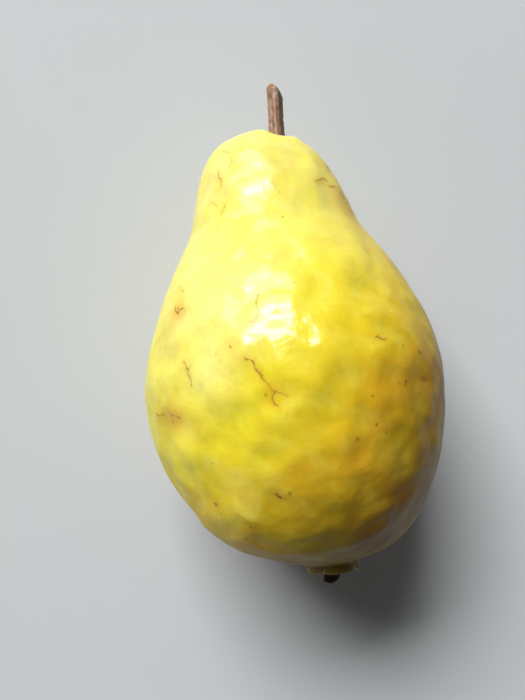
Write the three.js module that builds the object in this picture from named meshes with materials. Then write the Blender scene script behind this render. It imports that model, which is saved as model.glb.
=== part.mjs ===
// A pear-shaped yellow guava, picked and lying on its side. The fruit is one solid. Its woody stalk stands in a
// socket at the end of the neck, and the calyx at the blossom end keeps five dried lobes round a small cup, with
// the withered style in the middle of it.
//
// Millimetres, +Z up. The fruit lies on z = 0 on a small flat spot under its belly, with the stalk towards +Y
// and the calyx towards -Y. The origin is under the middle of the whole object.
import * as THREE from "three";

// Driving dimensions, in millimetres and degrees.
const FRUIT_LENGTH = 94; // from the blossom pole to the top of the neck
const BELLY_RADIUS = 31.9;
const BELLY_LENGTH = 41; // from its widest place to the blossom pole
const TAPER_LENGTH = 46.5; // from its widest place to where its taper would close inside the neck
const NECK_RADIUS = 14.5;
const NECK_HALF_LENGTH = 13;
const WAIST_BLEND = 12.5; // how softly the neck runs into the belly

// Squareness of the round forms: 2 is a plain ellipse, more is blunter, and less is more pointed.
const BELLY_SQUARENESS = 2.3;
const TAPER_SQUARENESS = 1.44;
const NECK_SQUARENESS = 2.1;

const NOSE_DOWN = 8; // the neck droops towards the surface that the fruit lies on
const FLAT_DEPTH = 0.95; // how far the flat spot is pressed into the belly

// The flesh grew fuller on the -X side, so its middle line runs beside the line from the calyx to the stalk.
const BLOSSOM_SHIFT = -2.8;
const NECK_SHIFT = -3;
const BLOSSOM_SLANT = 0.06; // rise per millimetre across, towards the blossom end at +X
const NECK_SLANT = 0.11; // fall per millimetre across, so the neck's shoulder is low at +X
const LUMP = 0.25; // height of the broad lumps under the skin

const STALK_RADIUS = 1.75;
const STALK_LENGTH = 15;
const STALK_LEAN = 7; // from the fruit's axis, towards +X
const STALK_CORNERS = 0.06; // how far its four blunt corners stand out, as a share of its radius
const BREAK_DROP = 1.8; // how much lower its broken end is at +X
const SOCKET_DEPTH = 3.2;
const DIMPLE_DEPTH = 1.1; // the stalk's dimple, below the shoulder round it
const DIMPLE_RADIUS = 4.6;

const CALYX_RADIUS = 5.1; // middle of the rim that carries the lobes
const CALYX_HEIGHT = 0.6; // of that rim, beyond the blossom pole
const CUP_DEPTH = 2.2; // from the rim down to the floral disc
const LOBE_THICKNESS = 1.3; // at its root
const LOBE_THINNING = 0.5; // share of its thickness that it loses on the way to its tip
const MARGIN_THINNING = 0.35; // the same, from its middle to its margins
const LOBE_TIP_WIDTH = 0.12; // as a share of its width
const STYLE_RADIUS = 0.45;
const STYLE_LENGTH = 4.4;
const STYLE_PIT = 1; // how deep it stands in the floral disc

const CLEARANCE = 0.3; // between pieces that touch

// How finely the surfaces are cut into faces.
const ROUND_FRUIT = 56;
const FLANK_ROWS = 40;
const ROUND_STALK = 18;
const ROUND_STYLE = 8;
const LOBE_ACROSS = 6;
const LOBE_ALONG = 8;

const BLOSSOM_POLE = -BELLY_LENGTH; // along the fruit's axis, from the belly's widest place
const NECK_TOP = FRUIT_LENGTH - BELLY_LENGTH;
const RIM_LEVEL = BLOSSOM_POLE - CALYX_HEIGHT;
const DISC_LEVEL = RIM_LEVEL + CUP_DEPTH;
const SOCKET_MOUTH = NECK_TOP - DIMPLE_DEPTH;
const SOCKET_FLOOR = SOCKET_MOUTH - SOCKET_DEPTH;
const CALYX_EDGE = CALYX_RADIUS + 1.2; // outside of the rim, where the fruit's own skin starts
const SHOULDER_EDGE = STALK_RADIUS + 1; // the same at the stalk's socket

const { degToRad, smoothstep } = THREE.MathUtils;

// The five lobes, in order round the calyx. Each stands at its turn, in degrees from straight up. Its root leans
// outwards by the flare, it bends by the curl as it grows, and a lower bluntness makes it more pointed.
const LOBES = [
  { turn: 20, length: 1.3, width: 7.4, flare: 2, curl: -12, bluntness: 6 },
  { turn: 97, length: 2.2, width: 5.6, flare: 4, curl: 14, bluntness: 2.6 },
  { turn: 180, length: 5.2, width: 4.6, flare: -6, curl: -40, bluntness: 1.4 },
  { turn: 234, length: 1.6, width: 4.4, flare: 6, curl: 16, bluntness: 2.2 },
  { turn: 297.5, length: 1.05, width: 6.6, flare: 6, curl: 10, bluntness: 3.6 },
];

const yellowSkin = new THREE.MeshStandardMaterial({ color: 0xe6d62c, roughness: 0.32, metalness: 0 });
const stalkBark = new THREE.MeshStandardMaterial({ color: 0x8a6446, roughness: 0.7, metalness: 0 });
const driedCalyx = new THREE.MeshStandardMaterial({ color: 0x6b5a2a, roughness: 0.8, metalness: 0 });
const witheredStyle = new THREE.MeshStandardMaterial({ color: 0x3b2a1a, roughness: 0.85, metalness: 0 });

// Radius at y of a round form whose middle is at centre; 0 beyond its ends.
function roundForm(y, centre, halfLength, radius, squareness) {
  const share = Math.min(1, Math.abs(y - centre) / halfLength);
  return radius * (1 - share ** squareness) ** (1 / squareness);
}

// The larger of a and b, with the corner between them rounded over the given width.
function softMax(a, b, width) {
  const overlap = Math.max(width - Math.abs(a - b), 0) / width;
  return Math.max(a, b) + (overlap * overlap * width) / 4;
}

// Radius of the fruit's side at y along its axis: the belly, the neck, and the waist that joins them.
function flankRadius(y) {
  const belly =
    y < 0
      ? roundForm(y, 0, BELLY_LENGTH, BELLY_RADIUS, BELLY_SQUARENESS)
      : roundForm(y, 0, TAPER_LENGTH, BELLY_RADIUS, TAPER_SQUARENESS);
  const neck = roundForm(y, NECK_TOP - NECK_HALF_LENGTH, NECK_HALF_LENGTH, NECK_RADIUS, NECK_SQUARENESS);
  return softMax(belly, neck, WAIST_BLEND);
}

// Half of the fruit's section, as [radius, y] from the middle of the calyx to the bottom of the stalk's socket.
function fruitProfile() {
  const pit = STYLE_RADIUS + CLEARANCE;
  const blossomEnd = [
    [0, DISC_LEVEL + STYLE_PIT],
    [pit, DISC_LEVEL + STYLE_PIT],
    [pit + 0.1, DISC_LEVEL + 0.1],
    [1.9, DISC_LEVEL],
    [3.1, DISC_LEVEL - 0.2],
    [3.8, DISC_LEVEL - 0.8],
    [CALYX_RADIUS - 0.9, RIM_LEVEL + 0.5],
    [CALYX_RADIUS - 0.6, RIM_LEVEL],
    [CALYX_RADIUS + 0.6, RIM_LEVEL],
    [CALYX_RADIUS + 1.1, RIM_LEVEL + 0.3],
    [CALYX_RADIUS + 1.8, BLOSSOM_POLE + 0.12],
    [CALYX_RADIUS + 2.6, BLOSSOM_POLE + 0.4],
  ];
  const flankStart = BLOSSOM_POLE + 0.85;
  const flankEnd = NECK_TOP - 0.75;
  const flank = Array.from({ length: FLANK_ROWS + 1 }, (_, row) => {
    const even = row / FLANK_ROWS;
    const crowded = (1 - Math.cos(Math.PI * even)) / 2; // more rows where the ends curve in
    const y = THREE.MathUtils.lerp(flankStart, flankEnd, (even + 2 * crowded) / 3);
    return [flankRadius(y), y];
  });
  const socket = STALK_RADIUS + CLEARANCE;
  const stalkEnd = [
    [DIMPLE_RADIUS, NECK_TOP - 0.3],
    [DIMPLE_RADIUS - 1.2, NECK_TOP - 0.5 * DIMPLE_DEPTH],
    [socket + 0.4, SOCKET_MOUTH],
    [socket + 0.15, SOCKET_MOUTH - 0.5],
    [socket + 0.05, SOCKET_FLOOR],
    [0, SOCKET_FLOOR],
  ];
  return [...blossomEnd, ...flank, ...stalkEnd].map(([radius, y]) => new THREE.Vector2(radius, y));
}

// Where the flesh's middle line runs along X, for a ring of the given radius at y. The calyx and the stalk stay
// on the axis.
function middleLine(y, radius) {
  const freed = y < 0 ? smoothstep(radius, CALYX_EDGE, 20) : smoothstep(radius, SHOULDER_EDGE, 10);
  return freed * THREE.MathUtils.lerp(BLOSSOM_SHIFT, NECK_SHIFT, smoothstep(y, -20, 20));
}

// How far the end of the fruit at y is slanted along the axis, at x from the flesh's middle line.
function endSlant(x, y, radius) {
  return y < 0
    ? x * BLOSSOM_SLANT * smoothstep(-y, 5, BELLY_LENGTH) * smoothstep(radius, CALYX_EDGE, 14)
    : x * NECK_SLANT * smoothstep(y, 10, NECK_TOP) * smoothstep(radius, SHOULDER_EDGE, 8);
}

// Height of the broad lumps at an angle round the fruit and a place along it.
function lumpHeight(angle, y) {
  return (
    LUMP *
    (Math.sin(3 * angle + y / 13 + 0.6) +
      0.8 * Math.sin(5 * angle - y / 8 + 2.1) +
      0.6 * Math.sin(2 * angle + y / 5.5))
  );
}

// Moves each vertex of a geometry to where place puts it.
function reshape(geometry, place) {
  const position = geometry.getAttribute("position");
  const point = new THREE.Vector3();
  for (let i = 0; i < position.count; i++) {
    point.fromBufferAttribute(position, i);
    place(point);
    position.setXYZ(i, point.x, point.y, point.z);
  }
  return geometry;
}

// The fruit's skin about its own axis, before it is pressed flat underneath.
function fruitSkin() {
  return reshape(new THREE.LatheGeometry(fruitProfile(), ROUND_FRUIT), (point) => {
    const radius = Math.hypot(point.x, point.z);
    const angle = Math.atan2(point.x, point.z);
    const grown = 1 + (smoothstep(radius, 8, 16) * lumpHeight(angle, point.y)) / Math.max(radius, 1);
    const x = point.x * grown;
    point.x = x + middleLine(point.y, radius);
    point.y -= endSlant(x, point.y, radius);
    point.z *= grown;
  });
}

// Presses the underside flat, and returns the level of the flat spot along up.
function pressFlat(geometry, up) {
  let lowest = Infinity;
  reshape(geometry, (point) => {
    lowest = Math.min(lowest, point.dot(up));
  });
  const level = lowest + FLAT_DEPTH;
  reshape(geometry, (point) => {
    point.addScaledVector(up, Math.max(0, level - point.dot(up)));
  });
  return level;
}

// The stalk, standing on y = 0: a foot, a slender shaft, and a thicker tip that was broken off at a slant.
function stalkGeometry() {
  // Each entry is a share of the stalk's radius, and a share of its length.
  const profile = [
    [0, 0],
    [0.85, 0],
    [0.97, 0.03],
    [1, 0.15],
    [1.04, 0.25],
    [0.98, 0.36],
    [0.95, 0.5],
    [0.96, 0.64],
    [0.97, 0.76],
    [0.99, 0.86],
    [1, 0.94],
    [0.86, 1],
    [0, 1],
  ].map(([radius, along]) => new THREE.Vector2(radius * STALK_RADIUS, along * STALK_LENGTH));
  return reshape(new THREE.LatheGeometry(profile, ROUND_STALK), (point) => {
    const angle = Math.atan2(point.x, point.z);
    const share = point.y / STALK_LENGTH;
    const corner = 1 + STALK_CORNERS * Math.cos(4 * angle - 0.7);
    point.x *= corner;
    point.z *= corner;
    const broken = Math.max(0, point.x + 0.35) - 0.2 * point.z;
    point.y -= ((BREAK_DROP * broken) / STALK_RADIUS) * smoothstep(share, 0.7, 1);
  });
}

// One lobe of the calyx, a thick pointed scale that bends over an arc as it leaves the rim.
function lobeGeometry({ turn, length, width, flare, curl, bluntness }) {
  const start = degToRad(flare);
  const bend = degToRad(curl);
  return reshape(new THREE.BoxGeometry(2, 1, 2, LOBE_ACROSS, LOBE_ALONG, 1), (point) => {
    const along = point.y + 0.5;
    const across = point.x;
    const heading = start + bend * along;
    const out = (length * (Math.cos(start) - Math.cos(heading))) / bend;
    const away = (length * (Math.sin(heading) - Math.sin(start))) / bend;
    const taper = (1 - along ** bluntness) ** 0.7;
    const halfWidth = (width / 2) * THREE.MathUtils.lerp(LOBE_TIP_WIDTH, 1, taper);
    const thickness = LOBE_THICKNESS * (1 - LOBE_THINNING * along) * (1 - MARGIN_THINNING * across * across);
    const side = (point.z * thickness) / 2;
    const fromAxis = CALYX_RADIUS + out + side * Math.cos(heading);
    const angle = degToRad(turn) - (across * halfWidth) / (CALYX_RADIUS + out);
    point.set(fromAxis * Math.sin(angle), side * Math.sin(heading) - away, fromAxis * Math.cos(angle));
  });
}

// The withered style, a bent thread that stands in its pit in the floral disc.
function styleGeometry() {
  const section = new THREE.Shape().absarc(0, 0, STYLE_RADIUS, 0, 2 * Math.PI);
  const path = new THREE.CatmullRomCurve3([
    new THREE.Vector3(0, 0, 0),
    new THREE.Vector3(0.1, -0.35 * STYLE_LENGTH, 0),
    new THREE.Vector3(0.5, -0.7 * STYLE_LENGTH, 0.3),
    new THREE.Vector3(1.4, -0.95 * STYLE_LENGTH, 0.6),
  ]);
  return new THREE.ExtrudeGeometry(section, { steps: 8, curveSegments: ROUND_STYLE / 2, extrudePath: path });
}

function namedMesh(name, geometry, material) {
  const mesh = new THREE.Mesh(geometry, material);
  mesh.name = name;
  return mesh;
}

// The whole fruit about its own axis, then tipped and lifted on to its flat spot.
const lying = new THREE.Group();
lying.rotation.x = -degToRad(NOSE_DOWN);

const skin = fruitSkin();
const up = new THREE.Vector3(0, 0, 1).applyEuler(new THREE.Euler(degToRad(NOSE_DOWN), 0, 0));
lying.position.z = -pressFlat(skin, up);
lying.add(namedMesh("fruit", skin, yellowSkin));

const stalk = namedMesh("stalk", stalkGeometry(), stalkBark);
stalk.position.y = SOCKET_FLOOR + CLEARANCE;
stalk.rotation.z = -degToRad(STALK_LEAN);
lying.add(stalk);

const calyx = new THREE.Group();
calyx.position.y = RIM_LEVEL - CLEARANCE;
LOBES.forEach((lobe, i) => calyx.add(namedMesh(`calyx_lobe_${i + 1}`, lobeGeometry(lobe), driedCalyx)));
lying.add(calyx);

const style = namedMesh("style", styleGeometry(), witheredStyle);
style.position.y = DISC_LEVEL + STYLE_PIT - CLEARANCE;
lying.add(style);

// The origin is under the middle of the object's box.
const guava = new THREE.Group();
guava.add(lying);
const middle = new THREE.Box3().setFromObject(guava, true).getCenter(new THREE.Vector3());
guava.position.set(-middle.x, -middle.y, 0);

export default guava;
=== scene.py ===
"""A pear-shaped yellow guava, lying on its side on a pale counter.

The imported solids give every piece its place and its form. Each one is turned into a smooth skin, gets the
relief of the real surface, and is dressed in a finish worked out from millimetre sizes.
"""

import logging
import math
from dataclasses import dataclass, field
from enum import Enum
from functools import partial
from itertools import chain
from typing import Callable, Iterator, Optional, Union

import bmesh
import bpy
import numpy as np
from mathutils import Matrix, Vector, noise
from mathutils.bvhtree import BVHTree


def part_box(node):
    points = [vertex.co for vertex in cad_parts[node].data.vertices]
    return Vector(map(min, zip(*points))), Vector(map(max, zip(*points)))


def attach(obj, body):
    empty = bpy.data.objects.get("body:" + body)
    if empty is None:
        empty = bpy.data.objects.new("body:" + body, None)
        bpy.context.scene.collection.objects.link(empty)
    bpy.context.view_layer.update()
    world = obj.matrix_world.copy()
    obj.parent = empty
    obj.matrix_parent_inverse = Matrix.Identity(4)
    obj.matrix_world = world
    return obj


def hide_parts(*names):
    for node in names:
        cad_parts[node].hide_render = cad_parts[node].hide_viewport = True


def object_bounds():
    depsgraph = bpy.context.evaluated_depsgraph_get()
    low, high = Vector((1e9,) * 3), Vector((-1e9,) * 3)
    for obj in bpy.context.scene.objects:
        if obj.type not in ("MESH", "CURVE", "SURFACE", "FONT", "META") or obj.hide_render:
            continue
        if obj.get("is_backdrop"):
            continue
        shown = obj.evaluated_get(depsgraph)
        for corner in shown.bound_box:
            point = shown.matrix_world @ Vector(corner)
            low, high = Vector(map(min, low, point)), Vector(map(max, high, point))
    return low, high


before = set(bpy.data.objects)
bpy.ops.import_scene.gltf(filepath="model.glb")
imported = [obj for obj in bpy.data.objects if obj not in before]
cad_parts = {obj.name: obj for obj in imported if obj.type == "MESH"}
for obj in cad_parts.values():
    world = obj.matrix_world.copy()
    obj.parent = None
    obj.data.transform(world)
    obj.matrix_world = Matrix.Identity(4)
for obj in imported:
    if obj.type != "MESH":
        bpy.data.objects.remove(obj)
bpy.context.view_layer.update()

log = logging.getLogger("guava")

MM = 0.001
NOSE_DOWN = math.radians(8)  # the neck droops this far, as in the solids
FRUIT_AXIS = Vector((0, math.cos(NOSE_DOWN), -math.sin(NOSE_DOWN)))  # from the calyx to the stalk

Material, Mesh, Object = bpy.types.Material, bpy.types.Mesh, bpy.types.Object
Tree, Socket, Outputs = bpy.types.NodeTree, bpy.types.NodeSocket, bpy.types.NodeOutputs
SocketValue = Union[Socket, float, tuple]
OnSkin = Callable[[float, float], Vector]
Sockets = dict[str, Socket]
Pair, Triple = tuple[float, float], tuple[float, float, float]
Layers = Iterator[tuple[Socket, str]]

# The kinds of node that the finishes use most, and their settings.
NOISE, MAP_RANGE, MIX = "ShaderNodeTexNoise", "ShaderNodeMapRange", "ShaderNodeMix"
MATH, VECTOR_MATH, ATTRIBUTE = "ShaderNodeMath", "ShaderNodeVectorMath", "ShaderNodeAttribute"
RAMP, BUMP, PRINCIPLED = "ShaderNodeValToRGB", "ShaderNodeBump", "ShaderNodeBsdfPrincipled"
SMOOTH, COLOURS = {"interpolation_type": "SMOOTHSTEP"}, {"data_type": "RGBA"}
MULTIPLY, MULTIPLY_ADD = {"operation": "MULTIPLY"}, {"operation": "MULTIPLY_ADD"}
SUBTRACT, MAXIMUM = {"operation": "SUBTRACT"}, {"operation": "MAXIMUM"}
DOT, DISTANCE, SCALE = {"operation": "DOT_PRODUCT"}, {"operation": "DISTANCE"}, {"operation": "SCALE"}

# Sockets of the Mix node when it mixes colours.
MIX_A, MIX_B, MIX_RESULT = 6, 7, 2


def linear(colour: str) -> tuple[float, float, float, float]:
    """Turns an sRGB hex colour into a linear one.

    Args:
        colour: Six hex digits after a hash sign.

    Returns:
        Red, green, blue and an alpha of 1.
    """
    shares = (int(colour[i : i + 2], 16) / 255 for i in (1, 3, 5))
    red, green, blue = (s / 12.92 if s <= 0.04045 else ((s + 0.055) / 1.055) ** 2.4 for s in shares)
    return red, green, blue, 1.0


def add_node(
    tree: Tree,
    kind: str,
    settings: Optional[dict[str, object]] = None,
    inputs: Optional[dict[Union[str, int], SocketValue]] = None,
) -> Outputs:
    """Adds a node with its settings and links.

    Args:
        tree: The tree that the node joins.
        kind: The node's type, such as ShaderNodeTexNoise.
        settings: The node's own properties, by name.
        inputs: What goes into each socket, by name or number: another node's output is linked, and anything
            else is set on the socket.

    Returns:
        The new node's outputs.
    """
    node = tree.nodes.new(kind)
    for name, value in (settings or {}).items():
        setattr(node, name, value)
    for key, value in (inputs or {}).items():
        if isinstance(value, Socket):
            tree.links.new(value, node.inputs[key])
        else:
            node.inputs[key].default_value = value
    return node.outputs


def new_material(name: str) -> tuple[Material, Tree, Socket]:
    """Makes an empty node material.

    Args:
        name: The material's name.

    Returns:
        The material, its node tree, and a socket that gives the place on the object in millimetres.
    """
    material = bpy.data.materials.new(name)
    material.use_nodes = True
    tree = material.node_tree
    tree.nodes.clear()
    place = add_node(tree, "ShaderNodeTexCoord")["Object"]
    place_mm = add_node(tree, VECTOR_MATH, SCALE, {0: place, "Scale": 1 / MM})
    return material, tree, place_mm[0]


def finish_material(tree: Tree, shader: Outputs) -> None:
    """Joins a shader to a material's output.

    Args:
        tree: The material's node tree.
        shader: The shader node's outputs.
    """
    add_node(tree, "ShaderNodeOutputMaterial", inputs={"Surface": shader[0]})


# Finishes
# --------


@dataclass(frozen=True)
class PeelMark:
    """A thin corky scar or a speck on the peel.

    Attributes:
        path: Its points on the upper side of the fruit, as X and Y in millimetres. One point makes a speck.
        half_width: Half of its width, in millimetres.
        strength: How dark it is, from 0 to 1.
    """

    path: tuple[Pair, ...]
    half_width: float
    strength: float


class Tone(Enum):
    """What a patch of the peel turns towards."""

    WARM = "orange, with more specks"
    # Partly a deeper tone, partly painted shade.
    DEEP_AND_PAINTED_SHADE = "a deeper, browner yellow"
    # A painted sheen, pale where the highlight's soft glow falls.
    PAINTED_SHEEN = "pale, from a thicker bloom of wax"


@dataclass(frozen=True)
class Patch:
    """A soft patch of another colour on the peel.

    Attributes:
        place: Its middle on the upper side of the fruit, as X and Y in millimetres.
        radius: Where it has faded out, in millimetres.
        strength: How strong it is in its middle, from 0 to 1.
        tone: What it turns towards.
    """

    place: Pair
    radius: float
    strength: float
    tone: Tone = Tone.WARM


@dataclass(frozen=True)
class GuavaPeel:
    """Ripe guava peel: a thin waxy cuticle over yellow flesh.

    The wax gives a crisp highlight over a soft one, the flesh lets light in and glows a little, and the
    colour drifts from greenish lemon to ochre: partly the real ripening, and partly painted light, a pale
    painted glow on the side that faces the light and painted shade on the side turned from it.
    """

    pale: str = "#E3DA7C"
    lemon: str = "#E8D830"
    golden: str = "#E2C11F"
    ochre: str = "#9C6A12"
    greener: str = "#DDD028"
    mottle: str = "#EADF56"
    orange: str = "#D9921E"
    # The grain's deeper colour, also for the patches that are partly a deeper tone, partly painted shade.
    deep: str = "#B08E0E"
    # The painted sheen of the highlight's soft glow, for the pale patches.
    painted_sheen: str = "#F2EDA6"
    scar: str = "#94682E"
    speck: str = "#76561A"
    cup: str = "#64481C"
    ripe_and_shaded_side: Triple = (0.7, -0.58, -0.42)  # where the ochre side faces: the riper side, turned from the light and partly painted shade
    ripe_and_shaded_reach: Pair = (-45.0, 8.0)  # from how far out that way to how far it ripens and darkens in painted shade, in mm
    neck_reach: Pair = (4.0, 34.0)  # from which Y to which it turns paler, partly a painted glow, in mm
    swirl_mm: float = 9.0
    swirl_reach_mm: float = 4.0  # how far the swirl draws out the patches
    mottle_reach_mm: float = 1.2  # how far it draws out the mottles
    patch_mm: float = 17.0
    mottle_mm: float = 4.2
    grain_mm: float = 2.1  # the oil glands, drawn coarser than they are
    speck_spacing_mm: float = 1.9
    wander_mm: float = 2.2  # how far a scar strays from its path
    wanders_per_mm: float = 0.6
    wax: float = 0.115  # the weight of its mirror coat
    ripple_mm: float = 1.8
    ripple_depth_mm: float = 0.135
    glow_mm: float = 1.6  # how deep light goes into the flesh

    def build(
        self,
        marks: tuple[PeelMark, ...],
        patches: tuple[Patch, ...],
        on_skin: OnSkin,
        calyx_middle: Vector,
        stalk_foot: Vector,
    ) -> Material:
        """Makes the material.

        Each layer is mixed in as soon as its share is made. With many shares waiting, the peel renders black.

        Args:
            marks: The scars and specks with a place of their own.
            patches: The patches with a place of their own.
            on_skin: Gives the point of the upper skin at X and Y, in metres.
            calyx_middle: The middle of the calyx's rim, in metres.
            stalk_foot: Where the stalk leaves the fruit, in metres.

        Returns:
            The material.
        """
        material, tree, place = new_material("guava peel")
        slow = add_node(tree, NOISE, inputs={"Vector": place, "Scale": 1 / self.swirl_mm, "Detail": 2.0})
        swirl, reach = slow["Color"], (self.swirl_reach_mm,) * 3
        swirled = add_node(tree, VECTOR_MATH, MULTIPLY_ADD, {0: swirl, 1: reach, 2: place})[0]
        found: Sockets = {"Place": place, "Swirl": swirl, "Swirled": swirled}
        colour = self.ripeness_and_painted_light(tree, found)
        for share, tint in chain(
            self.mottled(tree, found),
            self.patched(tree, found, patches, on_skin),
            self.specked(tree, found),
            self.scarred(tree, found, marks, on_skin),
            self.dried(tree, found, calyx_middle, stalk_foot),
        ):
            mixed = {0: share, MIX_A: colour, MIX_B: linear(tint)}
            colour = add_node(tree, MIX, COLOURS, mixed)[MIX_RESULT]
        given = {"Value": found["Mottles"], "From Min": 0.3, "From Max": 0.7, "To Min": 0.4, "To Max": 0.5}
        gloss = add_node(tree, MAP_RANGE, inputs=given)[0]
        rougher = {"operation": "MULTIPLY_ADD", "use_clamp": True}
        roughness = add_node(tree, MATH, rougher, {0: found["Mark"], 1: 0.3, 2: gloss})[0]
        ripple = add_node(tree, NOISE, inputs={"Vector": place, "Scale": 1 / self.ripple_mm, "Detail": 3.5})
        depth = self.ripple_depth_mm * MM
        bump = add_node(tree, BUMP, inputs={"Height": ripple[0], "Strength": 1.0, "Distance": depth})
        # The coat is a small share of a strong mirror: as bright as wax face on, but calm at the rim.
        skin = {
            "Base Color": colour,
            "Roughness": roughness,
            "IOR": 1.45,
            "Specular IOR Level": 0.14,
            "Subsurface Weight": 0.8,
            "Subsurface Radius": (1.0, 0.62, 0.14),
            "Subsurface Scale": self.glow_mm * MM,
            "Coat Weight": found["Wax"],
            "Coat Roughness": 0.17,
            "Coat IOR": 3.5,
            "Coat Normal": bump[0],
            "Normal": bump[0],
        }
        finish_material(tree, add_node(tree, PRINCIPLED, inputs=skin))
        return material

    def ripeness_and_painted_light(self, tree: Tree, found: Sockets) -> Socket:
        """Colours the peel from the pale side, the less ripe, to the ochre one: partly ripeness, and partly a
        painted glow on the side that faces the light and painted shade on the side turned from it.

        Args:
            tree: The material's node tree.
            found: The sockets that the layers share.

        Returns:
            The colour.
        """
        # The share grows towards the ochre side: partly ripeness, partly painted shade away from the light.
        side = add_node(tree, VECTOR_MATH, DOT, {0: found["Swirled"], 1: self.ripe_and_shaded_side})["Value"]
        given = {"Value": side, "From Min": self.ripe_and_shaded_reach[0], "From Max": self.ripe_and_shaded_reach[1]}
        found["Ripe"] = add_node(tree, MAP_RANGE, inputs=given)[0]
        # A pale painted glow at the lit end of the ramp, ochre painted shade at the other, over the real
        # ripening.
        base = add_node(tree, RAMP, inputs={"Fac": found["Ripe"]})
        first, last = base[0].node.color_ramp.elements
        first.position, first.color, last.color = 0.05, linear(self.pale), linear(self.ochre)
        for position, tint in ((0.35, self.lemon), (0.64, self.golden)):
            base[0].node.color_ramp.elements.new(position).color = linear(tint)
        return base["Color"]

    def mottled(self, tree: Tree, found: Sockets) -> Layers:
        """Adds a paler neck, partly a painted glow, wide greener patches, and pale mottles that fade where
        the peel is ripe and where it is painted in shade.

        Args:
            tree: The material's node tree.
            found: The sockets that the layers share.

        Yields:
            Each layer's share and colour.
        """
        # The neck turns paler, partly as a painted glow where the light falls on it.
        along = add_node(tree, "ShaderNodeSeparateXYZ", inputs={0: found["Swirled"]})["Y"]
        belly, neck = self.neck_reach
        given = {"Value": along, "From Min": belly, "From Max": neck, "To Max": 0.75}
        yield add_node(tree, MAP_RANGE, SMOOTH, given)[0], self.pale
        wide = {"Vector": found["Swirled"], "Scale": 1 / self.patch_mm}
        drift = add_node(tree, NOISE, inputs=wide)[0]
        given = {"Value": drift, "From Min": 0.42, "From Max": 0.62, "To Max": 0.3}
        yield add_node(tree, MAP_RANGE, SMOOTH, given)[0], self.greener
        drawn = {0: found["Swirl"], 1: (self.mottle_reach_mm,) * 3, 2: found["Place"]}
        moved = add_node(tree, VECTOR_MATH, MULTIPLY_ADD, drawn)[0]
        given = {"Vector": moved, "Scale": 1 / self.mottle_mm, "Detail": 2.0, "Roughness": 0.5}
        found["Mottles"] = add_node(tree, NOISE, inputs=given)[0]
        most = add_node(tree, MATH, MULTIPLY_ADD, {0: found["Ripe"], 1: -0.42, 2: 0.6})[0]
        given = {"Value": found["Mottles"], "From Min": 0.43, "From Max": 0.7, "To Max": most}
        yield add_node(tree, MAP_RANGE, SMOOTH, given)[0], self.mottle

    def patched(self, tree: Tree, found: Sockets, patches: tuple[Patch, ...], on_skin: OnSkin) -> Layers:
        """Adds the patches with a place of their own: orange blushes, pale ones that are a painted sheen, and
        deeper ones that are partly a deeper tone and partly painted shade.

        Args:
            tree: The material's node tree.
            found: The sockets that the layers share.
            patches: The patches.
            on_skin: Gives the point of the upper skin at X and Y, in metres.

        Yields:
            Each layer's share and colour.
        """
        tones = {Tone.WARM: self.orange, Tone.DEEP_AND_PAINTED_SHADE: self.deep, Tone.PAINTED_SHEEN: self.painted_sheen}
        usual_swirl = Vector((0.5, 0.5, 0.5)) * self.swirl_reach_mm
        for patch in patches:
            middle = on_skin(*patch.place) / MM + usual_swirl
            away = add_node(tree, VECTOR_MATH, DISTANCE, {0: found["Swirled"], 1: middle})["Value"]
            given = {"Value": away, "From Max": patch.radius, "To Min": patch.strength, "To Max": 0.0}
            share = add_node(tree, MAP_RANGE, SMOOTH, given)[0]
            yield share, tones[patch.tone]
            if patch.tone is not Tone.WARM:
                continue
            if "Flecked" in found:
                share = add_node(tree, MATH, {"operation": "ADD"}, {0: found["Flecked"], 1: share})[0]
            found["Flecked"] = share

    def specked(self, tree: Tree, found: Sockets) -> Layers:
        """Adds the oil glands, as a slightly deeper grain, and small brown specks.

        Specks grow in some cells only, each of its own size, and in more of them where the peel is flecked.

        Args:
            tree: The material's node tree.
            found: The sockets that the layers share.

        Yields:
            Each layer's share and colour.
        """
        fine = {"Vector": found["Place"], "Scale": 1 / self.grain_mm, "Detail": 2.5}
        grain = add_node(tree, NOISE, inputs=fine)
        given = {"Value": grain[0], "From Min": 0.48, "From Max": 0.72, "To Max": 0.14}
        yield add_node(tree, MAP_RANGE, inputs=given)[0], self.deep
        spaced = {"Vector": found["Place"], "Scale": 1 / self.speck_spacing_mm}
        cells = add_node(tree, "ShaderNodeTexVoronoi", inputs=spaced)
        chance = add_node(tree, "ShaderNodeSeparateColor", inputs={0: cells["Color"]})[0]
        likely = add_node(tree, MATH, MULTIPLY_ADD, {0: found["Flecked"], 1: 0.3, 2: chance})[0]
        given = {"Value": likely, "From Min": 0.84, "From Max": 1.1, "To Max": 0.4}
        size = add_node(tree, MAP_RANGE, inputs=given)[0]
        given = {"Value": cells["Distance"], "From Max": size, "To Min": 0.62, "To Max": 0.0}
        yield add_node(tree, MAP_RANGE, SMOOTH, given)[0], self.speck

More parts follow.
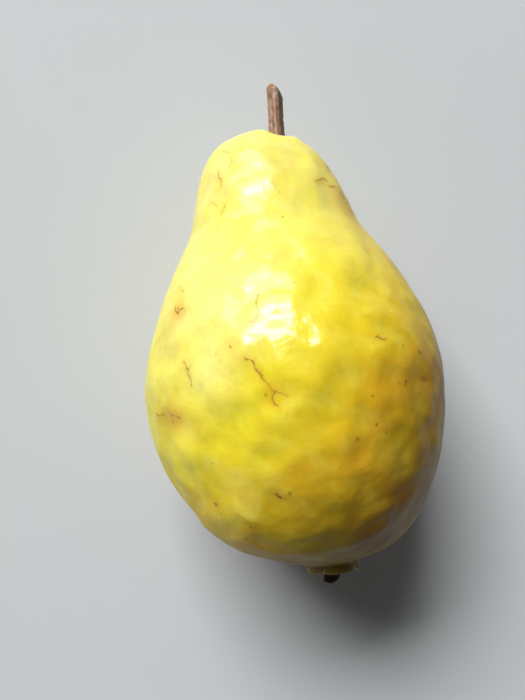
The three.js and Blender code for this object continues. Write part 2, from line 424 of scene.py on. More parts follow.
    def scarred(self, tree: Tree, found: Sockets, marks: tuple[PeelMark, ...], on_skin: OnSkin) -> Layers:
        """Adds the marks with a place of their own, which wander a little on their way, along the skin.

        Args:
            tree: The material's node tree.
            found: The sockets that the layers share.
            marks: The marks.
            on_skin: Gives the point of the upper skin at X and Y, in metres.

        Yields:
            Each layer's share and colour.
        """
        place = found["Place"]
        given = {"Vector": place, "Scale": self.wanders_per_mm, "Detail": 2.0}
        wander = add_node(tree, NOISE, inputs=given)["Color"]
        astray = add_node(tree, VECTOR_MATH, SUBTRACT, {0: wander, 1: (0.5, 0.5, 0.5)})[0]
        outward = add_node(tree, "ShaderNodeNewGeometry")["Normal"]
        lift = add_node(tree, VECTOR_MATH, DOT, {0: astray, 1: outward})["Value"]
        lifted = add_node(tree, VECTOR_MATH, SCALE, {0: outward, "Scale": lift})[0]
        level = add_node(tree, VECTOR_MATH, SUBTRACT, {0: astray, 1: lifted})[0]
        reach = (self.wander_mm,) * 3
        wandered = add_node(tree, VECTOR_MATH, MULTIPLY_ADD, {0: level, 1: reach, 2: place})[0]
        group = {"node_tree": self.mark_group()}
        for mark in marks:
            points = [on_skin(x, y) / MM for x, y in mark.path]
            for start, end in zip(points, points[1:] or points):
                given = {"Place": wandered, "Start": start, "End": end}
                given |= {"Half width": mark.half_width, "Strength": mark.strength}
                near = add_node(tree, "ShaderNodeGroup", group, given)
                for name in ("Mark", "Halo"):
                    share = near[name]
                    if name in found:
                        share = add_node(tree, MATH, MAXIMUM, {0: found[name], 1: share})[0]
                    found[name] = share
        yield add_node(tree, MATH, MULTIPLY, {0: found["Halo"], 1: 0.3})[0], self.orange
        yield found["Mark"], self.scar

    def mark_group(self) -> Tree:
        """Makes the group that measures how near a place is to one straight stretch of a mark.

        Returns:
            The node group.
        """
        group = bpy.data.node_groups.new("peel mark", "ShaderNodeTree")
        for way, kind, names in (
            ("INPUT", "NodeSocketVector", ("Place", "Start", "End")),
            ("INPUT", "NodeSocketFloat", ("Half width", "Strength")),
            ("OUTPUT", "NodeSocketFloat", ("Mark", "Halo")),
        ):
            for name in names:
                group.interface.new_socket(name, in_out=way, socket_type=kind)
        given = add_node(group, "NodeGroupInput")
        reach = add_node(group, VECTOR_MATH, SUBTRACT, {0: given["Place"], 1: given["Start"]})[0]
        stretch = add_node(group, VECTOR_MATH, SUBTRACT, {0: given["End"], 1: given["Start"]})[0]
        gone = add_node(group, VECTOR_MATH, DOT, {0: reach, 1: stretch})["Value"]
        whole = add_node(group, VECTOR_MATH, DOT, {0: stretch, 1: stretch})["Value"]
        divided = {"operation": "DIVIDE", "use_clamp": True}
        share = add_node(group, MATH, divided, {0: gone, 1: whole})[0]
        along = add_node(group, VECTOR_MATH, SCALE, {0: stretch, "Scale": share})[0]
        aside = add_node(group, VECTOR_MATH, DISTANCE, {0: reach, 1: along})["Value"]
        faded: Sockets = {}
        # Each fades from its inner to its outer distance, in half widths.
        for name, inner, outer in (("Mark", 0.35, 1.25), ("Halo", 0.8, 7.0)):
            near = add_node(group, MATH, MULTIPLY, {0: given["Half width"], 1: inner})[0]
            far = add_node(group, MATH, MULTIPLY, {0: given["Half width"], 1: outer})[0]
            fade = {"Value": aside, "From Min": near, "From Max": far}
            fade |= {"To Min": given["Strength"], "To Max": 0.0}
            faded[name] = add_node(group, MAP_RANGE, SMOOTH, fade)[0]
        add_node(group, "NodeGroupOutput", inputs=faded)
        return group

    def dried(self, tree: Tree, found: Sockets, calyx_middle: Vector, stalk_foot: Vector) -> Layers:
        """Turns the skin round the calyx and the foot of the stalk dry and brown, without wax.

        Args:
            tree: The material's node tree.
            found: The sockets that the layers share.
            calyx_middle: The middle of the calyx's rim, in metres.
            stalk_foot: Where the stalk leaves the fruit, in metres.

        Yields:
            Each layer's share and colour.
        """
        wax: SocketValue = self.wax
        # Each zone fades from its inner to its outer distance, in millimetres.
        for middle, inner, outer, dryness in (
            (calyx_middle, 10.0, 24.0, 0.45),
            (calyx_middle, 6.0, 8.0, 0.85),
            (stalk_foot, 2.0, 4.2, 0.5),
        ):
            away = add_node(tree, VECTOR_MATH, DISTANCE, {0: found["Place"], 1: middle / MM})["Value"]
            given = {"Value": away, "From Min": inner, "From Max": outer, "To Min": dryness, "To Max": 0.0}
            dry = add_node(tree, MAP_RANGE, SMOOTH, given)[0]
            yield dry, self.cup
            bare = add_node(tree, MATH, SUBTRACT, {0: 1.0, 1: dry})[0]
            wax = add_node(tree, MATH, MULTIPLY, {0: wax, 1: bare})[0]
        found["Wax"] = wax


@dataclass(frozen=True)
class StalkBark:
    """The picked stalk's bark: brown, dry, faintly glossy, with painted sheen and shade and an orange-brown
    break.
    """

    brown: str = "#9A7355"
    dark: str = "#553A28"
    painted_sheen: str = "#BE9F8C"  # a painted sheen, in pale blotches
    shade: str = "#472E1E"  # painted shade, on the side turned from the light
    broken: str = "#94683C"
    blotch_mm: float = 2.6
    fibre_mm: float = 0.35

    def build(self) -> Material:
        """Makes the material.

        Returns:
            The material.
        """
        material, tree, place = new_material("guava stalk bark")
        along, relief, painted_shade_side = (
            add_node(tree, ATTRIBUTE, {"attribute_name": name})["Fac"]
            for name in ("along", "relief", "painted_shade_side")
        )
        given = {"Vector": place, "Scale": 1 / self.blotch_mm, "Detail": 4.0}
        blotches = add_node(tree, NOISE, inputs=given)[0]
        # Painted shade: darker in the hollows of the relief, and on the side turned from the light.
        given = {"Value": relief, "From Min": 0.2, "From Max": 0.55, "To Min": 0.8, "To Max": 0.0}
        painted_crease_shade = add_node(tree, MAP_RANGE, inputs=given)[0]
        shaded = add_node(tree, MATH, MULTIPLY, {0: painted_shade_side, 1: 0.75})[0]
        ragged = add_node(tree, MATH, MULTIPLY_ADD, {0: blotches, 1: 0.12, 2: along})[0]
        given = {"Value": ragged, "From Min": 0.97, "From Max": 1.03}
        wood = add_node(tree, MAP_RANGE, SMOOTH, given)[0]
        colour: SocketValue = linear(self.dark)
        for share, tint in (
            (blotches, self.painted_sheen),
            (0.55, self.brown),
            (painted_crease_shade, self.dark),
            (shaded, self.shade),
            (wood, self.broken),
        ):
            mixed = {0: share, MIX_A: colour, MIX_B: linear(tint)}
            colour = add_node(tree, MIX, COLOURS, mixed)[MIX_RESULT]
        fibre = add_node(tree, NOISE, inputs={"Vector": place, "Scale": 1 / self.fibre_mm, "Detail": 3.0})
        bump = {"Height": fibre[0], "Strength": 0.5, "Distance": 0.12 * MM}
        uneven = add_node(tree, BUMP, inputs=bump)[0]
        bark = {"Base Color": colour, "Roughness": 0.42, "IOR": 1.5, "Normal": uneven}
        finish_material(tree, add_node(tree, PRINCIPLED, inputs=bark))
        return material


@dataclass(frozen=True)
class DriedCalyx:
    """Leathery sepals dried on the fruit: olive at the root, brown further out, with pale thin margins."""

    olive: str = "#9A842C"
    brown: str = "#A07C2E"
    black: str = "#5A4C36"
    margin: str = "#CDB97E"
    blotch_mm: float = 1.8
    wrinkle_mm: float = 0.5

    def build(self) -> Material:
        """Makes the material.

        Returns:
            The material.
        """
        material, tree, place = new_material("dried guava calyx")
        along, edge = (
            add_node(tree, ATTRIBUTE, {"attribute_name": name})["Fac"] for name in ("along", "edge")
        )
        given = {"Vector": place, "Scale": 1 / self.blotch_mm, "Detail": 4.0}
        blotches = add_node(tree, NOISE, inputs=given)[0]
        aged = add_node(tree, MATH, MULTIPLY_ADD, {0: blotches, 1: 0.9, 2: along})[0]
        base = add_node(tree, RAMP, inputs={"Fac": aged})
        root, tip = base[0].node.color_ramp.elements
        root.position, root.color, tip.color = 0.45, linear(self.olive), linear(self.black)
        base[0].node.color_ramp.elements.new(0.75).color = linear(self.brown)
        given = {"Value": edge, "From Min": 0.86, "From Max": 0.98, "To Max": 0.85}
        rim = add_node(tree, MAP_RANGE, SMOOTH, given)[0]
        mixed = {0: rim, MIX_A: base[0], MIX_B: linear(self.margin)}
        colour = add_node(tree, MIX, COLOURS, mixed)[MIX_RESULT]
        wrinkle = add_node(tree, NOISE, inputs={"Vector": place, "Scale": 1 / self.wrinkle_mm, "Detail": 3.0})
        bump = {"Height": wrinkle[0], "Strength": 0.5, "Distance": 0.15 * MM}
        uneven = add_node(tree, BUMP, inputs=bump)[0]
        leather = {"Base Color": colour, "Roughness": 0.6, "IOR": 1.45, "Normal": uneven}
        finish_material(tree, add_node(tree, PRINCIPLED, inputs=leather))
        return material


@dataclass(frozen=True)
class WitheredThread:
    """The dead style: a thin dark brown thread, matt and a little uneven."""

    brown: str = "#4A3420"
    dark: str = "#20160E"
    blotch_mm: float = 0.9

    def build(self) -> Material:
        """Makes the material.

        Returns:
            The material.
        """
        material, tree, place = new_material("withered guava style")
        given = {"Vector": place, "Scale": 1 / self.blotch_mm, "Detail": 3.0}
        blotches = add_node(tree, NOISE, inputs=given)[0]
        mixed = {0: blotches, MIX_A: linear(self.dark), MIX_B: linear(self.brown)}
        colour = add_node(tree, MIX, COLOURS, mixed)[MIX_RESULT]
        finish_material(tree, add_node(tree, PRINCIPLED, inputs={"Base Color": colour, "Roughness": 0.75}))
        return material


@dataclass(frozen=True)
class PaleCounter:
    """A plain pale counter, honed, so that it keeps a soft shadow and hardly mirrors."""

    colour: str = "#C8CBCD"
    cloud: str = "#C3C6C8"
    cloud_mm: float = 60.0

    def build(self) -> Material:
        """Makes the material.

        Returns:
            The material.
        """
        material, tree, place = new_material("pale counter")
        clouds = add_node(tree, NOISE, inputs={"Vector": place, "Scale": 1 / self.cloud_mm})[0]
        mixed = {0: clouds, MIX_A: linear(self.colour), MIX_B: linear(self.cloud)}
        colour = add_node(tree, MIX, COLOURS, mixed)[MIX_RESULT]
        stone = {"Base Color": colour, "Roughness": 0.75, "Specular IOR Level": 0.25}
        finish_material(tree, add_node(tree, PRINCIPLED, inputs=stone))
        return material


# Meshes
# ------


def coordinates(mesh: Mesh) -> np.ndarray:
    """Reads the points of a mesh.

    Args:
        mesh: The mesh.

    Returns:
        An array with a row of X, Y and Z for each point.
    """
    flat = np.empty(len(mesh.vertices) * 3)
    mesh.vertices.foreach_get("co", flat)
    return flat.reshape(-1, 3)


def normals(mesh: Mesh) -> np.ndarray:
    """Reads the normals at the points of a mesh.

    Args:
        mesh: The mesh.

    Returns:
        An array with a row of X, Y and Z for each point.
    """
    flat = np.empty(len(mesh.vertices) * 3)
    mesh.vertex_normals.foreach_get("vector", flat)
    return flat.reshape(-1, 3)


def move_points(mesh: Mesh, points: np.ndarray) -> None:
    """Puts the points of a mesh at new places.

    Args:
        mesh: The mesh.
        points: A row of X, Y and Z for each point.
    """
    mesh.vertices.foreach_set("co", points.ravel())
    mesh.update()


def set_field(mesh: Mesh, name: str, values: np.ndarray) -> None:
    """Stores one number at each point of a mesh, for its material to read.

    Args:
        mesh: The mesh.
        name: The name that the material uses.
        values: The numbers, in the order of the points.
    """
    layer = mesh.attributes.new(name, "FLOAT", "POINT")
    layer.data.foreach_set("value", values.astype(np.float32))


def smoothstep(values: np.ndarray, low: float, high: float) -> np.ndarray:
    """Eases from 0 at low to 1 at high.

    Args:
        values: The numbers to ease.
        low: Where the result is 0.
        high: Where the result is 1.

    Returns:
        The eased shares.
    """
    share = np.clip((values - low) / (high - low), 0, 1)
    return share * share * (3 - 2 * share)


def noise_field(points: np.ndarray, size: float, seed: float) -> np.ndarray:
    """Reads smooth noise at each point.

    Args:
        points: The points.
        size: How far apart its lumps are, in the points' unit.
        seed: Moves the pattern along.

    Returns:
        Numbers between about -1 and 1.
    """
    return np.array([noise.noise(Vector(point)) for point in points / size + seed])


def refined(node: str, name: str, levels: int) -> Object:
    """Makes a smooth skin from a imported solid.

    The solid's triangles are paired into quads, which are then subdivided.

    Args:
        node: The solid's name.
        name: The new object's name.
        levels: How many times it is subdivided.

    Returns:
        The new object.
    """
    cage = bmesh.new()
    cage.from_mesh(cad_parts[node].data)
    bmesh.ops.remove_doubles(cage, verts=cage.verts, dist=0.002 * MM)
    widest = math.radians(60)
    angles = {"angle_face_threshold": widest, "angle_shape_threshold": widest}
    bmesh.ops.join_triangles(cage, faces=cage.faces, **angles)
    mesh = bpy.data.meshes.new(name)
    cage.to_mesh(mesh)
    cage.free()
    mesh.materials.clear()
    skin = bpy.data.objects.new(name, mesh)
    bpy.context.scene.collection.objects.link(skin)
    skin.modifiers.new("Smooth", "SUBSURF").levels = levels
    smooth = bpy.data.meshes.new_from_object(skin.evaluated_get(bpy.context.evaluated_depsgraph_get()))
    skin.modifiers.clear()
    skin.data = smooth
    smooth.name = name
    bpy.data.meshes.remove(mesh)
    smooth.shade_smooth()
    return skin


def dress(piece: Object, material: Material, slot: str, *nodes: str) -> None:
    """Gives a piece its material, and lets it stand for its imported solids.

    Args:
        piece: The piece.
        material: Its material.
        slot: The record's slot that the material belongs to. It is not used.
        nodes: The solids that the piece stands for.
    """
    piece.data.materials.clear()
    piece.data.materials.append(material)
    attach(piece, "root")
    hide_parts(*nodes)


# Pieces
# ------


@dataclass
class Fruit:
    """The fruit's skin: the solid's form, with low rounded lumps, and the marks of its growth.

    A reach says from where to where something fades in, in metres.

    Attributes:
        lumps: The size of its lumps, their height, and their height on the smoother side, in millimetres.
        smooth_side: Where the smoother side faces.
        neck_calm: How much lower the lumps are on the neck, as a share.
        bulges: The X and Y of larger bulges, their radius and their height, in millimetres.
        flank_reach: How far up or down the skin faces where its relief is low, and where it is full.
        flank_relief: The share of the relief that is left on the flanks.
        stalk_dent: How deep the dent beside the stalk is, in metres.
    """

    lumps: tuple[Triple, ...] = (
        (14.0, 0.25, 0.3),
        (6.4, 0.5, 0.44),
        (4.1, 0.42, 0.32),
        (2.6, 0.1, 0.13),
    )
    smooth_side: Triple = (0.75, -0.62, -0.2)
    smooth_reach: Pair = (-22 * MM, 12 * MM)
    calyx_reach: Pair = (6.5 * MM, 10 * MM)
    stalk_reach: Pair = (2.5 * MM, 7 * MM)
    ground_reach: Pair = (0.0, 4 * MM)
    neck_reach: Pair = (12 * MM, 26 * MM)
    neck_calm: float = 0.25
    bulges: tuple[tuple[float, ...], ...] = (
        (-15.0, -37.0, 13.0, 0.9),
        (-15.5, -9.5, 8.0, 0.4),
        (-19.5, -21.5, 6.0, 0.3),
        (5.5, -9.5, 7.0, 0.35),
        (10.5, 10.0, 6.0, 0.2),
    )
    flank_reach: Pair = (0.15, 0.55)
    flank_relief: float = 0.3
    stalk_dent: float = 1.8 * MM
    dent_reach: Pair = (1.5 * MM, 6 * MM)
    dent_side: Pair = (-4 * MM, 0.5 * MM)
    peel: GuavaPeel = field(default_factory=GuavaPeel)
    marks: tuple[PeelMark, ...] = (
        PeelMark(((-8.8, -2.3), (-7.1, -4), (-6, -6.4), (-4, -9.3), (-4.6, -10.4), (-4.3, -12)), 0.18, 0.7),
        PeelMark(((-4, -9.3), (-2.3, -9.8)), 0.16, 0.5),
        PeelMark(((-5, 8.7), (-5.4, 5), (-5.7, 4), (-7, 3.4)), 0.18, 0.5),
        PeelMark(((-20.3, -2), (-19.6, -4.7), (-19.5, -6.8)), 0.18, 0.7),
        PeelMark(((-21.7, 8.2), (-20.9, 7.2), (-19.8, 8)), 0.25, 0.9),
        PeelMark(((-20.5, 12), (-19, 11.4)), 0.16, 0.6),
        PeelMark(((-24.4, -13.8), (-24.7, -11.8), (-22.5, -12.6)), 0.22, 0.7),
        PeelMark(((-28, -12.3), (-26.2, -12.6)), 0.2, 0.6),
        PeelMark(((15.5, -2.2), (17.4, -2.6)), 0.22, 0.7),
        PeelMark(((-10.2, 34.8), (-9.5, 33), (-9.8, 31.4)), 0.2, 0.6),
        PeelMark(((-8.6, 40), (-6.8, 39), (-6.9, 35.5)), 0.15, 0.4),
        PeelMark(((-11.5, 28.8), (-11.2, 27.4)), 0.16, 0.5),
        PeelMark(((-9, 27.6), (-9.9, 26)), 0.16, 0.5),
        PeelMark(((10, 30), (11.3, 30.8), (12.3, 30.4)), 0.22, 0.75),
        PeelMark(((12.8, 29), (14.2, 29.2)), 0.25, 0.75),
        PeelMark(((15.2, 27.9), (15.7, 27.1)), 0.35, 0.6),
        PeelMark(((16.3, 25.6),), 0.4, 0.6),
        PeelMark(((16.8, 23.9), (17.3, 23.1)), 0.3, 0.55),
        PeelMark(((14.6, 30.6),), 0.35, 0.5),
        PeelMark(((13.2, 34.0), (13.6, 33.2)), 0.25, 0.5),
        PeelMark(((-10.9, -0.3),), 0.4, 0.75),
        PeelMark(((-13.4, -1.3),), 0.3, 0.45),
        PeelMark(((20, -11.3),), 0.42, 0.85),
        PeelMark(((13.6, -17.7),), 0.42, 0.85),
        PeelMark(((24, -6.3),), 0.5, 0.75),
        PeelMark(((25, -11.8), (24, -11.6)), 0.35, 0.7),
        PeelMark(((-18.1, -29.8),), 0.42, 0.8),
        PeelMark(((-5.7, -28.7), (-6.2, -28)), 0.4, 0.8),
        PeelMark(((-11.8, -34.4),), 0.4, 0.65),
    )
    # Pale patches are a painted sheen of the highlight's glow, deeper ones partly painted shade, others
    # blushes.
    patches: tuple[Patch, ...] = (
        Patch((-12, 8), 17.0, 0.45, Tone.PAINTED_SHEEN),
        Patch((-16, -5), 9.0, 0.4, Tone.PAINTED_SHEEN),
        Patch((-24, 3), 8.0, 0.25, Tone.DEEP_AND_PAINTED_SHADE),
        Patch((-26, -14), 7.5, 0.5, Tone.DEEP_AND_PAINTED_SHADE),
        Patch((-19, -15.5), 5.5, 0.35, Tone.DEEP_AND_PAINTED_SHADE),
        Patch((19, -20), 11.0, 0.45, Tone.DEEP_AND_PAINTED_SHADE),
        Patch((24, -20), 9.0, 0.35, Tone.DEEP_AND_PAINTED_SHADE),
        Patch((12, -29), 10.0, 0.3, Tone.DEEP_AND_PAINTED_SHADE),
        Patch((3, -36), 11.0, 0.7, Tone.DEEP_AND_PAINTED_SHADE),
        Patch((-20.8, 7.6), 5.0, 0.4),
        Patch((-23.5, -12.5), 6.0, 0.4),
        Patch((-22, -32), 8.0, 0.35),
        Patch((-12, -40), 8.0, 0.4),
        Patch((16, 24), 9.0, 0.45),
        Patch((13, 34), 6.0, 0.35),
        Patch((16, -12), 9.0, 0.35),
        Patch((20, -8), 6.0, 0.3),
        Patch((10, -22), 9.0, 0.4),
        Patch((-1, -25), 8.0, 0.35),
        Patch((-4, -9), 4.5, 0.22),
    )
    skin: Object = field(init=False)

    def shape(self) -> None:
        """Makes the skin, with its lumps, its bulges and the dent beside the stalk."""
        self.skin = refined("fruit", "peel", 2)
        mesh = self.skin.data
        points, outward = coordinates(mesh), normals(mesh)
        smooth = smoothstep(points @ np.array(self.smooth_side), *self.smooth_reach)
        rise = np.zeros(len(points))
        for size, height, smooth_height in self.lumps:
            rise += (height + (smooth_height - height) * smooth) * noise_field(points / MM, size, size)
        for end, reach in ((self.calyx_middle(), self.calyx_reach), (self.stalk_foot(), self.stalk_reach)):
            rise *= smoothstep(np.linalg.norm(points - np.array(end), axis=1), *reach)
        rise *= smoothstep(points[:, 2], *self.ground_reach)
        rise *= 1 - self.neck_calm * smoothstep(points[:, 1], *self.neck_reach)
        for x, y, radius, height in self.bulges:
            away = np.hypot(points[:, 0] - x * MM, points[:, 1] - y * MM)
            rise += height * (1 - smoothstep(away, 0, radius * MM)) * smoothstep(outward[:, 2], 0, 0.3)
        upright = smoothstep(np.abs(outward[:, 2]), *self.flank_reach)
        rise *= self.flank_relief + (1 - self.flank_relief) * upright
        points += outward * rise[:, None] * MM
        # The dent is drawn out in Z.
        from_stalk = (points - np.array(self.stalk_foot())) * np.array((1, 1, 0.4))
        dent = (1 - smoothstep(np.linalg.norm(from_stalk, axis=1), *self.dent_reach)) * self.stalk_dent
        dent *= smoothstep(from_stalk[:, 0], *self.dent_side)
        points -= np.array(FRUIT_AXIS) * dent[:, None]
        move_points(mesh, points)

    def calyx_middle(self) -> Vector:
        """Finds the middle of the rim that carries the calyx's lobes.

        Returns:
            The point, in metres.
        """
        low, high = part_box("style")
        return Vector((low.x + 0.5 * MM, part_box("calyx_lobe_1")[1].y, (low.z + high.z) / 2))

    def stalk_foot(self) -> Vector:
        """Finds where the stalk leaves the fruit.

        Returns:
            The point, in metres.
        """
        low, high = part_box("stalk")
        start = Vector((low.x + 0.4 * (high.x - low.x), low.y, high.z - 2 * MM))
        return start + FRUIT_AXIS * 4 * MM

    def upper_point(self, tree: BVHTree, x: float, y: float) -> Vector:
        """Finds the point of the upper skin at a place seen from above.

        Args:
            tree: The skin's faces.
            x: Its X, in millimetres.
            y: Its Y, in millimetres.

        Returns:
            The point, in metres.

        Raises:
            ValueError: If the fruit has no skin there.
        """
        point = tree.ray_cast(Vector((x * MM, y * MM, 1.0)), Vector((0, 0, -1)))[0]
        if point is None:
            raise ValueError(f"no peel at X {x} mm and Y {y} mm")
        return point

    def build(self) -> None:
        """Makes and dresses the fruit."""
        self.shape()
        mesh = self.skin.data
        tree = BVHTree.FromPolygons([v.co for v in mesh.vertices], [p.vertices for p in mesh.polygons])
        on_skin = partial(self.upper_point, tree)
        ends = self.calyx_middle(), self.stalk_foot()
        material = self.peel.build(self.marks, self.patches, on_skin, *ends)
        dress(self.skin, material, "skin", "fruit")
        log.info("peel: %d faces, %d marks", len(mesh.polygons), len(self.marks))


@dataclass
class Stalk:
    """The woody stalk: four blunt corners, bark in slanting wrinkles, and a torn end.

    Attributes:
        lean: How far it leans towards X, in radians.
        slant: How far a wrinkle climbs on one side of the stalk, in gaps.
        foot_reach, end_reach: Where the bark's relief fades in and out, as shares of its length.
        torn: From which share of its length to which it turns into fibres.
        fray, worn: How far the fibres stick out, and how much shorter the torn wood is, in metres.
        shoulder: How much longer the bark is than the wood inside it, in metres.
        sway: How far it bends back, per metre of its length.
        painted_shade_flank: From which angle round it to which its bark is painted in shade, as the side
            turned from
        the light, in radians.
    """

    lean: float = math.radians(7)
    ridge: float = 0.1 * MM
    ridge_length: float = 9 * MM
    wrinkle: float = 0.11 * MM
    wrinkle_gap: float = 1.0 * MM
    slant: float = 0.9
    foot_reach: Pair = (0.02, 0.1)
    end_reach: Pair = (0.93, 1.0)
    torn: Pair = (0.86, 0.97)
    fray: float = 0.35 * MM
    worn: float = 0.2 * MM
    shoulder: float = 0.5 * MM
    sway: float = 0.05
    painted_shade_flank: Pair = (math.radians(28), math.radians(140))
    bark: StalkBark = field(default_factory=StalkBark)

    def build(self) -> None:
        """Makes and dresses the stalk."""
        piece = refined("stalk", "stalk_bark", 3)
        mesh = piece.data
        points = coordinates(mesh)
        across = Vector((1, 0, 0))
        along_axis = (FRUIT_AXIS * math.cos(self.lean) + across * math.sin(self.lean)).normalized()
        axis = np.array(along_axis)
        foot = points.mean(axis=0) - axis * ((points - points.mean(axis=0)) @ axis).ptp() / 2
        along = (points - foot) @ axis
        length = along.max()
        share = along / length
        radial = points - foot - along[:, None] * axis
        side = np.array(across - along_axis * across.dot(along_axis))
        side /= np.linalg.norm(side)
        angle = np.arctan2(radial @ side, radial @ np.cross(side, axis))
        # The noise is read round a cylinder, where it meets itself. A wide one gives narrow ridges.
        round_it = np.stack([np.cos(angle), np.sin(angle)], axis=1)
        climb = along / self.wrinkle_gap + self.slant * np.sin(angle + 0.5)
        ridges = noise_field(np.column_stack([round_it * 3, along / self.ridge_length]), 1.0, 4.0)
        wrinkles = noise_field(np.column_stack([round_it * 2, climb]), 1.0, 8.0)
        rise = self.ridge * ridges + self.wrinkle * wrinkles
        body = smoothstep(share, *self.foot_reach) * (1 - smoothstep(share, *self.end_reach))
        points += normals(mesh) * (rise * body)[:, None]
        torn = smoothstep(share, *self.torn)
        fibres = noise_field(radial / MM, 0.55, 2.0)
        points += axis * (torn * fibres * self.fray)[:, None] - axis * (torn * self.worn)[:, None]
        shoulder = smoothstep(share, 0.7, 0.95)
        shoulder *= smoothstep(np.linalg.norm(radial, axis=1), 0.5 * MM, 1.2 * MM)
        points += axis * (shoulder * self.shoulder)[:, None]
        points -= np.array(across) * ((along - length / 2) * self.sway)[:, None]
        move_points(mesh, points)
        set_field(mesh, "along", share + 0.06 * smoothstep(np.abs(normals(mesh) @ axis), 0.4, 0.8) * torn)
        # The bark reads these to paint shade into the relief's hollows and onto the side turned from the
        # light.
        set_field(mesh, "relief", 0.5 + 0.5 * (0.5 * ridges + 0.7 * wrinkles))
        dark_from, dark_to = self.painted_shade_flank
        painted_shade_side = smoothstep(angle + 0.2 * wrinkles, dark_from - 0.2, dark_from + 0.2)
        set_field(mesh, "painted_shade_side", painted_shade_side * (1 - smoothstep(angle, dark_to - 0.3, dark_to + 0.3)))
        dress(piece, self.bark.build(), "bark", "stalk")
        log.info("stalk: %d faces, %.1f mm long", len(mesh.polygons), length / MM)


@dataclass
class Calyx:
    """The five dried lobes, and the withered style in the cup.

    Attributes:
        sunk: How far the lobes' roots sink into the rim, in metres.
        spread: How much wider they are than their solids, as a share.
        long: How long a shrivelled lobe is, at least, in metres.
        blunt, bend: How much wider its tip is, as a share, and how far it bends to one side, in metres.
        crumples: The size of the lobes' crumples and their height, in millimetres.
        colour_reach: How far out a lobe has changed colour in full, in metres.
    """

    lobes: int = 5
    sunk: float = 0.6 * MM
    spread: float = 0.16
    long: float = 4 * MM
    blunt: float = 0.6
    bend: float = 0.6 * MM
    crumples: tuple[Pair, ...] = ((1.3, 0.12), (0.6, 0.05))
    margin_steps: int = 12
    colour_reach: float = 7 * MM
    finish: DriedCalyx = field(default_factory=DriedCalyx)
    thread: WitheredThread = field(default_factory=WitheredThread)

    def build(self, middle: Vector) -> None:
        """Makes and dresses the lobes and the style.

        Args:
            middle: The middle of the rim that carries the lobes, in metres.
        """
        material = self.finish.build()
        for number in range(1, self.lobes + 1):
            self.build_lobe(number, np.array(middle), material)
        style = refined("style", "withered_style", 2)
        dress(style, self.thread.build(), "style", "style")
        log.info("calyx: %d lobes and the style", self.lobes)

    def build_lobe(self, number: int, middle: np.ndarray, material: Material) -> None:
        """Makes and dresses one lobe.

        Args:
            number: Which lobe.
            middle: The middle of the rim, in metres.
            material: The lobes' material.
        """
        node = f"calyx_lobe_{number}"
        piece = refined(node, f"dried_{node}", 3)
        mesh = piece.data
        points = coordinates(mesh)
        axis = np.array(FRUIT_AXIS)
        out = -(points - middle) @ axis
        low, high = out.min(), out.max()
        share = (out - low) / (high - low)
        radial = points - middle + out[:, None] * axis
        angle = np.arctan2(radial[:, 0], radial[:, 2])
        turn = math.atan2(np.sin(angle).mean(), np.cos(angle).mean())
        lean = (angle - turn + math.pi) % (2 * math.pi) - math.pi
        shrivels = high - low > self.long
        steps = np.clip((share * self.margin_steps).astype(int), 0, self.margin_steps - 1)
        widest = np.zeros(self.margin_steps)
        np.maximum.at(widest, steps, np.abs(lean))
        # The pale margin fades towards the tip of a shrivelled lobe.
        edge = np.maximum(np.abs(lean) / widest[steps], smoothstep(share, 0.6, 0.9)) * (1 - share * shrivels)
        shrivelled = smoothstep(share, 0.5, 0.95) * shrivels
        spread = (lean * (self.spread * (1 - 0.4 * share) + self.blunt * shrivelled))[:, None]
        points += radial * (np.cos(spread) - 1) + np.cross(axis, radial) * np.sin(spread)
        points[:, 0] -= shrivelled * self.bend
        rise = sum(height * noise_field(points / MM, size, number) for size, height in self.crumples)
        points += normals(mesh) * (rise * share)[:, None] * MM
        points += axis * ((1 - smoothstep(share, 0, 0.35)) * self.sunk)[:, None]
        move_points(mesh, points)
        set_field(mesh, "along", out / self.colour_reach)
        set_field(mesh, "edge", edge)
        dress(piece, material, "calyx", node)


@dataclass(frozen=True)
class Pane:
    """A part of the window, which lights the fruit.

    Attributes:
        name: Its name.
        azimuth: Its direction in degrees, turned from X towards Y.
        elevation: How high it stands, in degrees.
        width, height: Its size, in metres.
        power: Its power, in watts.
    """

    name: str
    azimuth: float
    elevation: float
    width: float
    height: float
    power: float

    def build(self, middle: Vector, distance: float) -> None:
        """Makes the pane's light.

        Args:
            middle: What it lights.
            distance: How far away it is, in metres.
        """
        lamp = bpy.data.lights.new(self.name, "AREA")
        lamp.shape = "RECTANGLE"
        lamp.size, lamp.size_y = self.width, self.height
        lamp.energy = self.power
        pane = bpy.data.objects.new(self.name, lamp)
        azimuth, elevation = math.radians(self.azimuth), math.radians(self.elevation)
        across = math.cos(elevation)
        direction = Vector((across * math.cos(azimuth), across * math.sin(azimuth), math.sin(elevation)))
        pane.location = middle + direction * distance
        pane.rotation_euler = direction.to_track_quat("Z", "Y").to_euler()
        bpy.context.scene.collection.objects.link(pane)


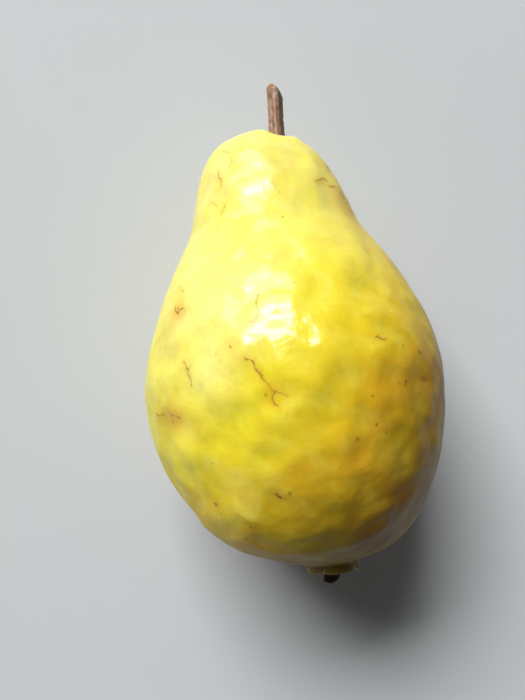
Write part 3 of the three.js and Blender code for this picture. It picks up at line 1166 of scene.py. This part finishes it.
@dataclass
class Studio:
    """The counter, the light of a window, and the camera above.

    Attributes:
        focal: The lens, in millimetres, on a 36 mm sensor.
        distance: From the camera to the middle of the fruit, in metres.
        tilt: How far the camera leans towards the stalk's end, in radians.
        roll: How far it is turned about its own line of sight, in radians.
        aim: What it looks at, in metres from the middle of the fruit's box.
        panes: The parts of the window, and the room's weak light.
        window_distance: How far away the window is, in metres.
        sky, sky_strength: The colour and the strength of the light that comes from everywhere.
        backdrop: The colour that the camera and the gloss see beyond the counter.
        counter: The counter's finish.
        counter_margins: How far it reaches beyond the fruit's box, to the left and the front, and to the
            right and the back, in metres.
        counter_thickness: How thick it is, in metres.
    """

    focal: float = 40.0
    distance: float = 0.168
    tilt: float = math.radians(3)
    roll: float = math.radians(-7.5)
    aim: Triple = (-5.5 * MM, -3.2 * MM, 0.0)
    panes: tuple[Pane, ...] = (
        Pane("bright_pane", azimuth=106, elevation=43.5, width=3.0, height=1.45, power=290),
        Pane("low_pane", azimuth=106, elevation=25, width=3.6, height=1.6, power=95),
        Pane("curtain", azimuth=104, elevation=26, width=6.0, height=3.2, power=30),
        Pane("room", azimuth=225, elevation=22, width=3.4, height=2.3, power=19),
    )
    window_distance: float = 5.0
    sky: str = "#EFF3F8"
    sky_strength: float = 0.045
    backdrop: str = "#625E50"
    counter: PaleCounter = field(default_factory=PaleCounter)
    counter_margins: tuple[Pair, Pair] = ((0.6, 0.14), (0.14, 0.6))
    counter_thickness: float = 20 * MM

    def build(self) -> None:
        """Makes the counter, the lights and the camera."""
        low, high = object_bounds()
        middle = (low + high) / 2
        self.build_counter(low, high)
        self.build_light(middle)
        self.build_camera(middle)
        log.info("studio: counter, window and camera")

    def build_counter(self, low: Vector, high: Vector) -> None:
        """Makes the counter that the fruit lies on, near the corner where two of its edges meet.

        Args:
            low: The lowest corner of the fruit's box, in metres.
            high: Its highest corner.
        """
        (left, front), (right, back) = self.counter_margins
        near, far = low - Vector((left, front, 0)), high + Vector((right, back, 0))
        near.z, far.z = -self.counter_thickness, 0.0
        mesh = bpy.data.meshes.new("counter")
        slab = bmesh.new()
        bmesh.ops.create_cube(slab, size=1.0)
        for corner in slab.verts:
            corner.co = [far[axis] if corner.co[axis] > 0 else near[axis] for axis in range(3)]
        slab.to_mesh(mesh)
        slab.free()
        counter = bpy.data.objects.new("counter", mesh)
        bpy.context.scene.collection.objects.link(counter)
        mesh.materials.append(self.counter.build())
        counter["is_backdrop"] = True

    def build_light(self, middle: Vector) -> None:
        """Makes the window's light and the sky's.

        Args:
            middle: The middle of the fruit, in metres.
        """
        for pane in self.panes:
            pane.build(middle, self.window_distance)
        world = bpy.data.worlds.new("sky")
        world.use_nodes = True
        tree = world.node_tree
        tree.nodes.clear()
        path = add_node(tree, "ShaderNodeLightPath")
        seen = path["Is Camera Ray"]
        for other in ("Is Glossy Ray", "Is Transmission Ray"):
            seen = add_node(tree, MATH, MAXIMUM, {0: seen, 1: path[other]})[0]
        glow = {0: seen}
        for key, colour, strength in ((1, self.sky, self.sky_strength), (2, self.backdrop, 1.0)):
            given = {"Color": linear(colour), "Strength": strength}
            glow[key] = add_node(tree, "ShaderNodeBackground", inputs=given)[0]
        mixed = add_node(tree, "ShaderNodeMixShader", inputs=glow)[0]
        add_node(tree, "ShaderNodeOutputWorld", inputs={"Surface": mixed})
        bpy.context.scene.world = world

    def build_camera(self, middle: Vector) -> None:
        """Makes the camera.

        Args:
            middle: The middle of the fruit, in metres.
        """
        data = bpy.data.cameras.new("camera")
        data.lens = self.focal
        data.clip_start = 1 * MM
        turn = Matrix.Rotation(self.roll, 3, "Z") @ Matrix.Rotation(-self.tilt, 3, "X")
        camera = bpy.data.objects.new("camera", data)
        camera.location = middle + Vector(self.aim) + turn @ Vector((0, 0, self.distance))
        camera.rotation_euler = turn.to_euler()
        bpy.context.scene.collection.objects.link(camera)
        bpy.context.scene.camera = camera
        bpy.context.scene.view_settings.view_transform = "Standard"


def main() -> None:
    """Builds the guava and its studio."""
    logging.basicConfig(level=logging.INFO, format="%(name)s: %(message)s")
    fruit = Fruit()
    fruit.build()
    Stalk().build()
    Calyx().build(fruit.calyx_middle())
    Studio().build()


if __name__ == "__main__":
    main()
